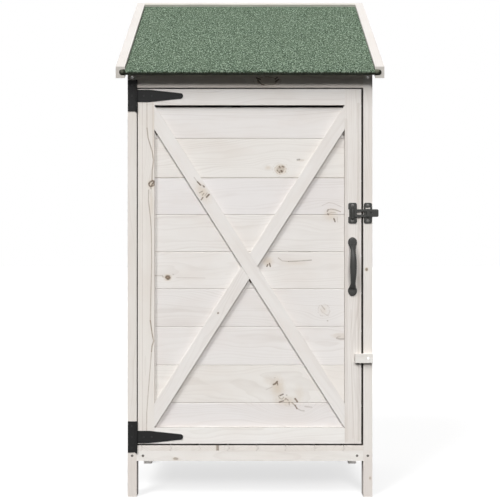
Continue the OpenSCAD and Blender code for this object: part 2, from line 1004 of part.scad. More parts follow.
// A rail of the door's frame, whose foot is at z
module door_rail(z) {
    color(white)
        difference() {
            translate([door_x0 + frame_w, front_y, z])
                cube([inner_w, frame_t, rail_w]);
            wood_holes();
        }
}

module door_rail_top() { door_rail(door_z1 - rail_w); }
module door_rail_bottom() { door_rail(door_z0); }

// Height of the foot of door board number n, counted from the top; board 0's foot is the door's slit
function plank_foot(n) =
    n == 0 ? plank_top + board_gap
    : plank_top - top_board_h - (n - 1) * plank_cover - (n < plank_count ? joint_drop[n - 1] : 0);

// Door board number n; the first is cut down and has no tongue
module door_plank(n) {
    cover = plank_foot(n - 1) - plank_foot(n);
    color(white)
        translate([door_x0 + board_inset, front_y + frame_t, plank_foot(n)])
            rotate([90, 0, 90])
                linear_extrude(door_w - 2 * board_inset)
                    intersection() {
                        board_section(cover, board_t);
                        square([board_t, n == 1 ? cover - board_gap : 2 * cover]);
                    }
}

// One cross brace: a strip from corner to corner whose long edges meet the inner corners
module brace_outline(grow) {
    drop = inner_w * tan(brace_angle);
    edge = grow / cos(brace_angle);
    translate([door_mid_x, door_mid_z])
        polygon([
            [-inner_w / 2, inner_h / 2 + edge],
            [inner_w / 2, inner_h / 2 - drop + edge],
            [inner_w / 2, -inner_h / 2 - edge],
            [-inner_w / 2, -inner_h / 2 + drop - edge]
        ]);
}

module door_brace_long() {
    color(white)
        upright_plate(front_y + frame_t, frame_t)
            brace_outline(0);
}

// Half of the other brace, above or below the long one
module door_brace_half(z) {
    color(white)
        upright_plate(front_y + frame_t, frame_t)
            intersection() {
                difference() {
                    translate([2 * door_mid_x, 0])
                        mirror([1, 0])
                            brace_outline(0);
                    brace_outline(board_gap / 2);
                }
                translate([door_x0, z])
                    square([door_w, inner_h / 2]);
            }
}

module door_brace_upper() { door_brace_half(door_mid_z); }
module door_brace_lower() { door_brace_half(door_mid_z - inner_h / 2); }

// The turn-button holds the door's edge and turns on a screw in the post
module turn_button() {
    color(white)
        difference() {
            translate([post_x - button_long, button_y - button_t, button_z - button_h / 2])
                cube([button_l, button_t, button_h]);
            translate([post_x, button_y - button_t, button_z])
                round_screw_hole(button_screw_r, 2 * button_t);
        }
}

module turn_button_screw() {
    color("#d8d4cf")
        translate([post_x, button_y - button_t, button_z])
            round_screw(button_screw_r, button_screw_head, button_t + run + button_screw_l);
}

front_post_left();
front_post_right();
back_post_left();
back_post_right();
sill_front();
header_front();
bottom_rail_left();
bottom_rail_right();
bottom_rail_back();
top_rail_left();
top_rail_right();
top_rail_back();
side_boards_left();
side_boards_right();
back_boards();
floor_boards();
floor_bearer_middle();
floor_bearer_back();
roof_boards();
rafter_middle();
barge_board_left();
barge_board_right();
roof_back_batten();
roof_felt();
hinge_plate_upper();
hinge_plate_lower();
hinge_pin_upper();
hinge_pin_lower();
plate_screws();
latch_keeper();
keeper_screws();
turn_button_screw();
frame_screws();
door_stile_left();
door_stile_right();
door_rail_top();
door_rail_bottom();
door_plank(1);  // door_plank_1
door_plank(2);  // door_plank_2
door_plank(3);  // door_plank_3
door_plank(4);  // door_plank_4
door_plank(5);  // door_plank_5
door_plank(6);  // door_plank_6
door_plank(7);  // door_plank_7
door_plank(8);  // door_plank_8
door_plank(9);  // door_plank_9
door_brace_long();
door_brace_upper();
door_brace_lower();
hinge_strap_upper();
hinge_strap_lower();
strap_screws();
door_handle();
hasp_bracket();
hasp_pin();
stile_screws();
hasp_arm();
latch_knob();
turn_button();
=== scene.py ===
import json
import math
import random

import bmesh
import bpy
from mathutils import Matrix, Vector, noise

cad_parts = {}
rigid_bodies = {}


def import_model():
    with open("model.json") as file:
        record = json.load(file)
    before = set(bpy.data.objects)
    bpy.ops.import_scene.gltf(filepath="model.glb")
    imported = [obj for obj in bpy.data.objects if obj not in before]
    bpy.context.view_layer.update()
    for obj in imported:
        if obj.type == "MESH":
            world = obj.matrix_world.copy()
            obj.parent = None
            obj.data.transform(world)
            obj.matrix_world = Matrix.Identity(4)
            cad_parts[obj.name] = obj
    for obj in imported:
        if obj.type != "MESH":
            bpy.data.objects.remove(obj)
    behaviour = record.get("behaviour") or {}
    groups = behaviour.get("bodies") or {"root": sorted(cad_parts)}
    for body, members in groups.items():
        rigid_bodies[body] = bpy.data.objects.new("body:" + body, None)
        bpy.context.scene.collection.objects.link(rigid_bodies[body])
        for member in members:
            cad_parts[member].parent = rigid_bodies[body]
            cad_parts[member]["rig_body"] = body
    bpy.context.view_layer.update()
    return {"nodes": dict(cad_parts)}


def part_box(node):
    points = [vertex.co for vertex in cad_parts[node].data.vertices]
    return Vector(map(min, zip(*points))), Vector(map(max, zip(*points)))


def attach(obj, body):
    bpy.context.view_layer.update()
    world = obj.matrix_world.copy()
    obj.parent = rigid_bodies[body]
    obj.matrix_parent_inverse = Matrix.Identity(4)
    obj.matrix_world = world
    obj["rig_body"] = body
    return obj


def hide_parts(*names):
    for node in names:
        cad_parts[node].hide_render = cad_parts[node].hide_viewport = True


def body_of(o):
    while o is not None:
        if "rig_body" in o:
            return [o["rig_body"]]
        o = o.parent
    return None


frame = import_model()
nodes = frame["nodes"]
scene = bpy.context.scene

X, Y, Z = Vector((1, 0, 0)), Vector((0, 1, 0)), Vector((0, 0, 1))
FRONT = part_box("door_stile_left")[0].y
FLOOR_TOP = 0.161
PITCH = math.radians(31)
SLOPE = Vector((0, math.cos(PITCH), math.sin(PITCH)))
ROOF_UP = Vector((0, -math.sin(PITCH), math.cos(PITCH)))
ROOF_START = Vector((0, FRONT, 1.340))
# The roof boards: their ends along the slope, their thickness and half their width
DECK_START, DECK_END, DECK_T = -0.04891, 0.59897, 0.010
DECK_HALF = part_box("roof_boards")[1].x
ROLL = ROOF_START + SLOPE * DECK_START + ROOF_UP * DECK_T / 2

# The camera's distance from the front and height, and how the photograph's pixels lie on the front
CAMERA_FAR, CAMERA_HIGH = 2.960, 0.787
PIXEL, MIDDLE_PX, GROUND_PY = 0.003126, 249.9, 496.7


def srgb(r, g, b):
    """A colour as it looks on the screen, from 0 to 255, as the shader's numbers."""
    return tuple(((c / 255 + 0.055) / 1.055) ** 2.4 if c > 10 else c / 3294 for c in (r, g, b)) + (1.0,)


def scaled(color, share):
    """A shader colour made lighter or darker."""
    return tuple(min(1.0, c * share) for c in color[:3]) + (1.0,)


class Net:
    """The nodes of a material or world, with short calls that add one. An input is a socket or a
    constant."""

    def __init__(self, owner, output="ShaderNodeOutputMaterial"):
        owner.use_nodes = True
        self.owner = owner
        self.tree = owner.node_tree
        self.tree.nodes.clear()
        self.out = self.tree.nodes.new(output)

    def node(self, kind, inputs=(), **props):
        made = self.tree.nodes.new(kind)
        for key, value in props.items():
            setattr(made, key, value)
        for key, value in dict(inputs).items():
            self.put(made.inputs[key], value)
        return made

    def put(self, socket, value):
        if isinstance(value, bpy.types.NodeSocket):
            self.tree.links.new(value, socket)
        else:
            socket.default_value = value

    def math(self, op, a, b=0.0, clamp=False):
        return self.node("ShaderNodeMath", {0: a, 1: b}, operation=op, use_clamp=clamp).outputs[0]

    def add(self, a, b):
        return self.math("ADD", a, b)

    def sub(self, a, b):
        return self.math("SUBTRACT", a, b)

    def mul(self, a, b):
        return self.math("MULTIPLY", a, b)

    def div(self, a, b):
        return self.math("DIVIDE", a, b)

    def hypot(self, a, b):
        return self.math("SQRT", self.add(self.mul(a, a), self.mul(b, b)))

    def dot(self, a, b):
        return self.node("ShaderNodeVectorMath", {0: a, 1: b}, operation="DOT_PRODUCT").outputs["Value"]

    def xyz(self, x, y, z):
        return self.node("ShaderNodeCombineXYZ", {0: x, 1: y, 2: z}).outputs[0]

    def noise(self, vector, scale=1.0, detail=2.0, rough=0.5):
        return self.node("ShaderNodeTexNoise", {
            "Vector": vector, "Scale": scale, "Detail": detail, "Roughness": rough}).outputs["Fac"]

    def span(self, value, low, high, to_low=0.0, to_high=1.0, smooth=True):
        return self.node("ShaderNodeMapRange", {
            "Value": value, "From Min": low, "From Max": high, "To Min": to_low, "To Max": to_high},
            interpolation_type="SMOOTHSTEP" if smooth else "LINEAR").outputs[0]

    def mix(self, factor, a, b):
        return self.node("ShaderNodeMix", {0: factor, 6: a, 7: b}, data_type="RGBA").outputs[2]

    def coords(self):
        return self.node("ShaderNodeTexCoord").outputs["Object"]

    def facing(self, direction):
        return self.dot(self.node("ShaderNodeTexCoord").outputs["Normal"], direction)

    def direct(self):
        """1 where the camera or a reflection looks, and 0 for light on its way to another surface."""
        path = self.node("ShaderNodeLightPath").outputs
        clear = self.math("MAXIMUM", path["Is Glossy Ray"], path["Is Transmission Ray"])
        return self.math("MAXIMUM", path["Is Camera Ray"], clear)

    def show(self, shader):
        """End in this shader, and give back what the nodes belong to."""
        self.put(self.out.inputs[0], shader.outputs[0])
        return self.owner

    def finish(self, color, roughness, height, bump, distance, metallic=0.0, specular=0.5):
        bumped = self.node("ShaderNodeBump", {"Height": height, "Strength": bump, "Distance": distance})
        return self.show(self.node("ShaderNodeBsdfPrincipled", {
            "Base Color": color, "Roughness": roughness, "Metallic": metallic,
            "Specular IOR Level": specular, "Normal": bumped.outputs[0]}))


# Whitewashed fir

WASH = (233, 229, 225)
GRAIN = srgb(192, 182, 173)
KNOT = srgb(152, 131, 110)
KNOT_DARK = srgb(84, 68, 55)
HALO = srgb(214, 201, 185)
# The tone of painted shade in the door's gaps and on sides that would throw light onto their neighbours
PAINTED_SHADE = srgb(88, 80, 72)
FOOT_TONE = srgb(198, 180, 171)
GREYED = srgb(168, 164, 154)
RING = 0.0055


class Knot:
    """A knot, by its place in the photograph or on its board. Its core is half long and half high.
    Core and halo say how strong these two are, and reach how many times the core's size the halo has.
    Broken is how much of the core the grain tears up, rings is how clear the rings round it are."""

    def __init__(self, x, y, long, high, core=0.9, halo=0.5, reach=2.2, broken=0.35, rings=0.0):
        self.x, self.y, self.long, self.high = x, y, long, high
        self.core, self.halo, self.reach, self.broken, self.rings = core, halo, reach, broken, rings

    def moved(self, place):
        return Knot(*place(self.x, self.y), self.long, self.high, self.core, self.halo, self.reach,
                    self.broken, self.rings)

    def meets(self, touches):
        return touches(self.x, self.y, self.high * self.reach)


class Line:
    """A thin dark line in the wood, by its corners. Wide is half its width, dark is how strong it is,
    black says how black, from 0 for the brown of a knot to 1, and wiggle is how far it sways."""

    def __init__(self, places, wide=0.0018, dark=0.7, black=0.5, wiggle=0.0):
        self.corners = list(zip(places[::2], places[1::2]))
        self.wide, self.dark, self.black, self.wiggle = wide, dark, black, wiggle

    def moved(self, place):
        return Line([p for corner in self.corners for p in place(*corner)],
                    self.wide, self.dark, self.black, self.wiggle)

    def meets(self, touches):
        return any(touches(*corner, 0.005) for corner in self.corners)


class Wood(Net):
    """Growth rings cut by the board, seen through thin white paint. A lies along the board, c across
    its face and d into it. Where a node is a wall of several boards, cover is one board's width, own_c
    lies across one board, and each has its own key and place in the log."""

    def __init__(self, name, along, across, origin, seed, cover):
        super().__init__(bpy.data.materials.new(name))
        at = self.node("ShaderNodeVectorMath", {0: self.coords(), 1: origin}, operation="SUBTRACT").outputs[0]
        self.a, self.c, self.d = (self.dot(at, axis) for axis in (along, across, along.cross(across)))
        self.own_c, self.key, self.shift = self.c, seed, 0.0
        if cover:
            index = self.math("FLOOR", self.div(self.c, cover))
            self.own_c = self.sub(self.c, self.mul(self.add(index, 0.5), cover))
            self.key = self.add(self.mul(index, 3.17), seed)
            self.shift = self.mul(self.math("SINE", self.mul(index, 2.3)), 0.045)
        self.shade = self.streaks(self.c, 5.0, 9.0, 7.7, 3.0, 0.6)
        self.torn = self.streaks(self.c, 60.0, 260.0, 5.1, 3.0, 0.6)

    def streaks(self, c, along, across, shift=0.0, detail=2.0, rough=0.5):
        """Noise along times as quick along the board, and across times as quick across it."""
        at = self.xyz(self.mul(self.a, along), self.mul(c, across), self.add(self.key, shift))
        return self.noise(at, 1.0, detail, rough)

    def stain(self, factor, tone):
        self.color = self.mix(factor, self.color, tone)

    def cut_log(self, knots, pith, depth, wander):
        """What the cut shows at each point: late wood, fibres and broad streaks. The log's middle is
        pith across from the board's and depth behind it, and it wanders. The rings bend round knots."""
        sway = self.mul(self.sub(self.streaks(self.own_c, 1.7, 7.0), 0.5), 4 * wander)
        c_log = self.add(self.add(self.add(self.own_c, pith), sway), self.shift)
        for k in knots:
            da, dc = self.sub(self.a, k.x), self.sub(self.c, k.y)
            u, v = self.div(da, 4.5 * k.long), self.div(dc, 3.0 * k.high)
            near = self.math("EXPONENT", self.mul(self.add(self.mul(u, u), self.mul(v, v)), -1.0))
            c_log = self.sub(c_log, self.mul(self.mul(dc, near), 0.85))
            c_log = self.add(c_log, self.mul(near, 0.5 * k.high))
        dip = self.mul(self.sub(self.streaks(self.own_c, 4.5, 16.0, 11.3), 0.5), 0.02)
        d_log = self.add(self.add(self.d, depth), dip)
        turns = self.div(self.hypot(c_log, d_log), RING)
        part = self.math("FRACT", turns)
        late = self.mul(self.span(part, 0.35, 0.93), self.span(part, 0.93, 1.0, 1.0, 0.0))
        ring_key = self.mul(self.math("FLOOR", turns), 0.731)
        each = self.noise(self.xyz(ring_key, self.key, self.mul(self.a, 1.3)), 1.0, 1.0, 0.5)
        at = self.xyz(self.mul(self.a, 9.0), self.mul(c_log, 420.0), self.mul(d_log, 420.0))
        return (self.mul(late, self.span(each, 0.32, 0.72)), self.noise(at, 1.0, 2.0, 0.6),
                self.streaks(c_log, 2.6, 38.0, 3.3, 3.0, 0.55))

    def coat(self, late, fibre, broad, paint, strength):
        """Thin paint lets the late wood through."""
        thin = srgb(paint[0] * 0.978, paint[1] * 0.966, paint[2] * 0.957)
        self.color = self.mix(self.span(self.shade, 0.35, 0.75, 0.0, 0.75), srgb(*paint), thin)
        seen = self.add(self.mul(late, 0.30 * strength),
                        self.mul(self.span(broad, 0.52, 0.78), 0.24 * strength))
        seen = self.add(seen, self.mul(self.span(fibre, 0.55, 0.85), 0.10 * strength))
        self.stain(self.math("MINIMUM", seen, 1.0), GRAIN)
        self.height = self.add(self.mul(late, -0.5), self.mul(fibre, 0.5))

    def draw_knots(self, knots):
        """Each knot's halo, rings and core. Rag makes its outline uneven, and torn is the grain over it."""
        rag = self.sub(self.streaks(self.c, 150.0, 150.0, 1.1, 3.0, 0.65), 0.5)
        crack = self.streaks(self.c, 330.0, 330.0)
        inside = self.mix(self.span(crack, 0.40, 0.60), KNOT, KNOT_DARK)
        for k in knots:
            u, v = self.div(self.sub(self.a, k.x), k.long), self.div(self.sub(self.c, k.y), k.high)
            q = self.add(self.hypot(u, v), rag)
            self.stain(self.mul(self.span(q, k.reach, 0.9 if k.core else 0.0), k.halo), HALO)
            if k.rings:
                wave = self.span(self.math("SINE", self.mul(q, 9.5)), 0.35, 0.95)
                fade = self.mul(self.span(q, 0.9, 1.3), self.span(q, k.reach * 1.3, 1.4))
                clear = self.mul(self.span(self.torn, 0.35, 0.6), k.rings)
                self.stain(self.mul(self.mul(wave, fade), clear), KNOT)
            if k.core:
                whole = self.mul(self.span(self.torn, 0.40, 0.62, 1.0 - k.broken, 1.0), k.core)
                self.stain(self.mul(self.span(q, 1.15, 0.7), whole), inside)
                rim = self.mul(self.span(q, 0.6, 0.92), self.span(q, 1.25, 0.92))
                self.stain(self.mul(rim, self.mul(whole, 0.5)), KNOT_DARK)
                self.height = self.add(self.height, self.mul(self.span(q, 1.1, 0.8), -0.6 * k.core))

    def draw_line(self, line):
        """A line, by each point's distance off the nearest stretch between two of its corners."""
        c = self.c
        if line.wiggle:
            at = self.xyz(self.mul(self.a, 16.0), line.corners[0][1] * 50, self.key)
            c = self.sub(c, self.mul(self.sub(self.noise(at, 1.0, 2.0, 0.5), 0.5), line.wiggle))
        off = 1.0
        for (a0, c0), (a1, c1) in zip(line.corners, line.corners[1:]):
            da, dc = self.sub(self.a, a0), self.sub(c, c0)
            la, lc = a1 - a0, c1 - c0
            reached = self.add(self.mul(da, la), self.mul(dc, lc))
            t = self.math("DIVIDE", reached, la * la + lc * lc, clamp=True)
            off = self.math("MINIMUM", off, self.hypot(self.sub(da, self.mul(t, la)),
                                                       self.sub(dc, self.mul(t, lc))))
        seen = self.mul(self.span(off, 1.5 * line.wide, 0.55 * line.wide),
                        self.span(self.torn, 0.3, 0.6, 0.7, 1.0))
        tone = tuple(p + (q - p) * line.black for p, q in zip(KNOT, KNOT_DARK))
        self.stain(self.mul(seen, line.dark), tone)


def wood(name, along, across, origin, seed, marks=(), cover=0.0, pith=0.0, depth=0.05, strength=1.0,
         wander=0.03, paint=WASH, end=0.35, low=None, dusty=None, narrow=None):
    """Painted wood with knots and lines. Strength is the grain's, and end says how grey the boards'
    ends are. Low is a leg's foot: two heights and how dark it is. The faces towards the argument after
    low close a narrow gap at the front, and take painted shade there. The side towards narrow takes a
    little painted shade too, so that it throws less light onto what lies beside it."""
    n = Wood(name, along, across, origin, seed, cover)
    knots = [mark for mark in marks if isinstance(mark, Knot)]
    n.coat(*n.cut_log(knots, pith, depth, wander), paint, strength)
    if knots:
        n.draw_knots(knots)
    for mark in marks:
        if isinstance(mark, Line):
            n.draw_line(mark)
    if low:
        # A leg is a little darker and pinker towards its foot
        n.stain(n.span(n.dot(n.coords(), Z), *low, 0.0), FOOT_TONE)
    # The end of a board drinks the paint and greys
    n.stain(n.span(n.math("ABSOLUTE", n.facing(along)), 0.75, 0.95, 0.0, end), GREYED)
    if dusty:
        # Painted shade in the door's gaps, only near the front and above the legs
        near = n.mul(n.span(n.dot(n.coords(), Y), FRONT + 0.075, FRONT + 0.045),
                     n.span(n.dot(n.coords(), Z), 0.100, 0.112))
        n.stain(n.mul(n.span(n.facing(dusty), 0.8, 0.97, 0.0, 0.92), near), PAINTED_SHADE)
    # A side a little darker: painted shade, so that it throws less light onto what lies beside it
    if narrow:
        n.stain(n.span(n.facing(narrow), 0.8, 0.97, 0.0, 0.42), PAINTED_SHADE)
    height = n.add(n.height, n.mul(n.noise(n.coords(), 700.0, 2.0, 0.6), 0.35))
    return n.finish(n.color, n.span(n.shade, 0.2, 0.8, 0.62, 0.78), height, 0.35, 0.0004, specular=0.28)


def iron(name, color, roughness, grain=650.0, bump=0.12, worn=0.05, specular=0.35):
    """Powder coat on steel: a fine orange peel, a little uneven in tone and gloss."""
    n = Net(bpy.data.materials.new(name))
    p = n.coords()
    patch = n.noise(p, 38.0, 3.0, 0.6)
    dust = n.noise(p, 160.0, 4.0, 0.7)
    tone = n.mix(n.span(patch, 0.3, 0.75), color, scaled(color, 1.35))
    tone = n.mix(n.mul(n.span(dust, 0.6, 0.78), worn), tone, srgb(140, 138, 134))
    rough = n.add(n.span(patch, 0.25, 0.8, roughness - 0.07, roughness + 0.08), n.mul(dust, 0.05))
    peel = n.add(n.noise(p, grain, 2.0, 0.5), n.mul(patch, 0.6))
    return n.finish(tone, rough, peel, bump, 0.0006, specular=specular)


def steel(name, color, roughness):
    """Zinc-plated steel with fine turned marks and a few dull spots."""
    n = Net(bpy.data.materials.new(name))
    p = n.coords()
    marks = n.noise(p, 900.0, 2.0, 0.6)
    spots = n.noise(p, 240.0, 3.0, 0.6)
    tone = n.mix(n.span(spots, 0.55, 0.75, 0.0, 0.6), color, scaled(color, 0.6))
    rough = n.span(spots, 0.3, 0.8, roughness - 0.07, roughness + 0.15)
    return n.finish(tone, rough, marks, 0.1, 0.0003, metallic=0.85)


def felt():
    """Bitumen felt under a layer of green mineral grit, bare along its cut edges."""
    n = Net(bpy.data.materials.new("felt_grit"))
    p = n.coords()
    x, z = n.dot(p, X), n.dot(p, Z)
    flat = n.xyz(x, n.mul(n.dot(p, SLOPE), 0.6), n.mul(n.dot(p, ROOF_UP), 0.8))
    cells = n.node("ShaderNodeTexVoronoi", {"Vector": p, "Scale": 560.0, "Randomness": 1.0})
    each = n.node("ShaderNodeSeparateColor", {0: cells.outputs["Color"]})
    fine = n.noise(p, 900.0, 2.0, 0.7)
    mid = n.noise(flat, 270.0, 2.0, 0.7)
    clump = n.noise(flat, 130.0, 2.0, 0.6)
    broad = n.noise(p, 16.0, 3.0, 0.6)
    value = n.add(n.add(n.mul(each.outputs[0], 0.14), n.mul(fine, 0.10)),
                  n.add(n.mul(n.span(mid, 0.30, 0.70, smooth=False), 0.50), n.mul(clump, 0.26)))
    color = n.mix(n.span(value, 0.34, 0.52), srgb(37, 53, 37), srgb(91, 110, 90))
    color = n.mix(n.span(value, 0.52, 0.72), color, srgb(169, 187, 167))
    color = n.mix(n.mul(n.span(each.outputs[1], 0.86, 0.95), 0.5), color, srgb(44, 48, 40))
    color = n.mix(n.span(broad, 0.35, 0.75, 0.0, 0.12), color, srgb(112, 124, 104))
    # Bare bitumen at the cut side edges, at the roll's ends, and under the front edge, where it is also
    # painted shade
    wide, uneven = n.math("ABSOLUTE", x), n.sub(mid, 0.5)
    edge = n.span(n.add(wide, n.mul(uneven, 0.0014)), DECK_HALF - 0.0018, DECK_HALF - 0.0004)
    fold_and_shade = n.span(n.add(z, n.mul(uneven, 0.008)), ROLL.z + 0.0004, ROLL.z - 0.0030)
    # Some grit is left in the middle of the roll's ends, more of it on the right
    right = n.math("GREATER_THAN", x, 0.0)
    off_x = n.sub(wide, n.sub(DECK_HALF + 0.0085, n.mul(right, 0.0035)))
    off_z = n.sub(z, n.add(ROLL.z + 0.0010, n.mul(right, 0.0024)))
    off = n.mul(n.hypot(off_x, off_z), n.sub(1.0, n.mul(right, 0.35)))
    middle = n.mul(n.span(off, 0.0062, 0.0030), n.add(0.5, n.mul(right, 0.4)))
    tar = n.mix(n.span(fine, 0.5, 0.72), srgb(34, 35, 28), srgb(64, 68, 56))
    tar = n.mix(middle, tar, srgb(112, 116, 100))
    color = n.mix(n.math("MAXIMUM", edge, n.mul(fold_and_shade, 0.85)), color, tar)
    height = n.add(n.sub(1.0, cells.outputs["Distance"]), n.mul(mid, 1.4))
    return n.finish(color, n.span(fine, 0.3, 0.7, 0.8, 0.95), height, 0.8, 0.0012, specular=0.2)


def put_on(node, material, rounding):
    """Give a CAD node its material, and where rounding isn't 0, round its edges as rendered."""
    mesh = nodes[node].data
    mesh.materials.clear()
    mesh.materials.append(material)
    if rounding:
        weld = nodes[node].modifiers.new("weld", "WELD")
        weld.merge_threshold = 0.00001
        edge = nodes[node].modifiers.new("edge", "BEVEL")
        edge.width = rounding
        edge.segments = 2
        edge.limit_method = "ANGLE"
        edge.angle_limit = math.radians(50)


# Wood: each piece has its own log, and the knots that the photograph shows where they are


def seen_at(px, py, depth):
    """The place x, z that the photograph shows at a pixel, depth metres behind the front."""
    far = 1 + depth / CAMERA_FAR
    return (px - MIDDLE_PX) * PIXEL * far, CAMERA_HIGH + ((GROUND_PY - py) * PIXEL - CAMERA_HIGH) * far


# Knots and lines by their pixels in the photograph, on single pieces and on the door's boards
MARKS = {
    "front_post_right": [
        Knot(366.4, 269.3, 0.0044, 0.0036, 0.75, 0.75, 2.3, 0.2), Knot(370, 478, 0.004, 0.003, 0.6)],
    "sill_front": [Knot(175.6, 458.6, 0.008, 0.0035, 0.7, 0.4)],
    "header_front": [
        Knot(267, 81, 0.020, 0.009, 0.0, 0.4, 2.2, 0.5, 0.8),
        Line((256.5, 78, 260.3, 79.5), 0.0018, 0.9, 1.0),
        Line((257.7, 80, 260, 83, 262, 84.6, 264, 85), 0.0016, 0.9, 0.9),
        Line((275, 79, 277.3, 77.3), 0.0018, 0.9, 0.8), Line((275.5, 81.5, 278.5, 79.5), 0.0020, 0.9, 0.9)],
    "door_stile_left": [
        Knot(151.0, 184.0, 0.0130, 0.0100, 0.0, 0.8, 1.8), Knot(151.5, 203, 0.040, 0.0060, 0.0, 0.5, 1.5),
        Knot(153.2, 130, 0.120, 0.0035, 0.0, 0.4, 1.5), Line((146.9, 100, 146.9, 128), 0.0016, 0.35, 0.2),
        Line((146.9, 128, 148.0, 138, 152.0, 151, 153.4, 160, 152.2, 170, 152.0, 180), 0.0017, 0.70, 0.25),
        Line((149.0, 183.4, 150.4, 181.8, 152.6, 180.7, 153.8, 181.3, 153.6, 182.7, 152.6, 183.4),
             0.0026, 0.92, 0.75),
        Line((149.0, 183.4, 148.9, 184.8, 150.2, 186.4, 151.4, 186.3, 151.9, 184.8), 0.0024, 0.92, 0.75),
        Line((152.6, 186.0, 153.6, 185.3, 153.8, 184.2), 0.0020, 0.85, 0.6),
        Line((150.4, 186.4, 150.9, 188.8), 0.0016, 0.60, 0.4),
        Line((148.5, 190, 148.4, 201, 150.5, 219, 151.2, 230, 151.7, 262, 151.0, 285, 150.2, 320.6),
             0.0015, 0.60, 0.1),
        Line((150.2, 320.6, 152.0, 333, 153.5, 340.7, 152.0, 346, 151.4, 351.5), 0.0018, 0.80, 0.2),
        Line((151.4, 351.5, 149.6, 374, 148.1, 393, 146.7, 412.5, 146.5, 432), 0.0014, 0.50, 0.1),
        Line((142.3, 100, 142.4, 440), 0.0011, 0.22, 0.2, 0.0012)],
    "door_stile_right": [
        Line((358.3, 104, 358.6, 440), 0.0040, 0.18, 0.0, 0.0016),
        Line((345.6, 120, 346.0, 440), 0.0050, 0.13, 0.0, 0.0016),
        Line((351.0, 310, 353.0, 438), 0.0020, 0.12, 0.0, 0.0030)],
    "door_brace_long": [
        Knot(203, 192.5, 0.030, 0.015, 0.0, 0.75, 1.7),
        Line((197.3, 181.7, 200.3, 184.9), 0.0021, 0.90, 0.8),
        Line((200.3, 184.9, 203.4, 185.4), 0.0014, 0.45, 0.5),
        Line((194, 177.3, 196.7, 181.1), 0.0014, 0.35, 0.4),
        Line((203.6, 186.4, 204.0, 186.7), 0.0026, 0.80, 0.8),
        Line((199.4, 192.8, 202.3, 191.2), 0.0016, 0.60, 0.5),
        Line((202.3, 195.1, 203.8, 193.3), 0.0016, 0.55, 0.5),
        Line((205.1, 195.3, 207, 193), 0.0015, 0.40, 0.3),
        Line((206.6, 197.0, 208.9, 194.5), 0.0026, 0.95, 0.7),
        Line((201.1, 199.8, 202.8, 197.4), 0.0020, 0.80, 0.6)],
    "door_brace_lower": [Knot(218, 313, 0.0030, 0.0026, 0.9, 0.3)]}
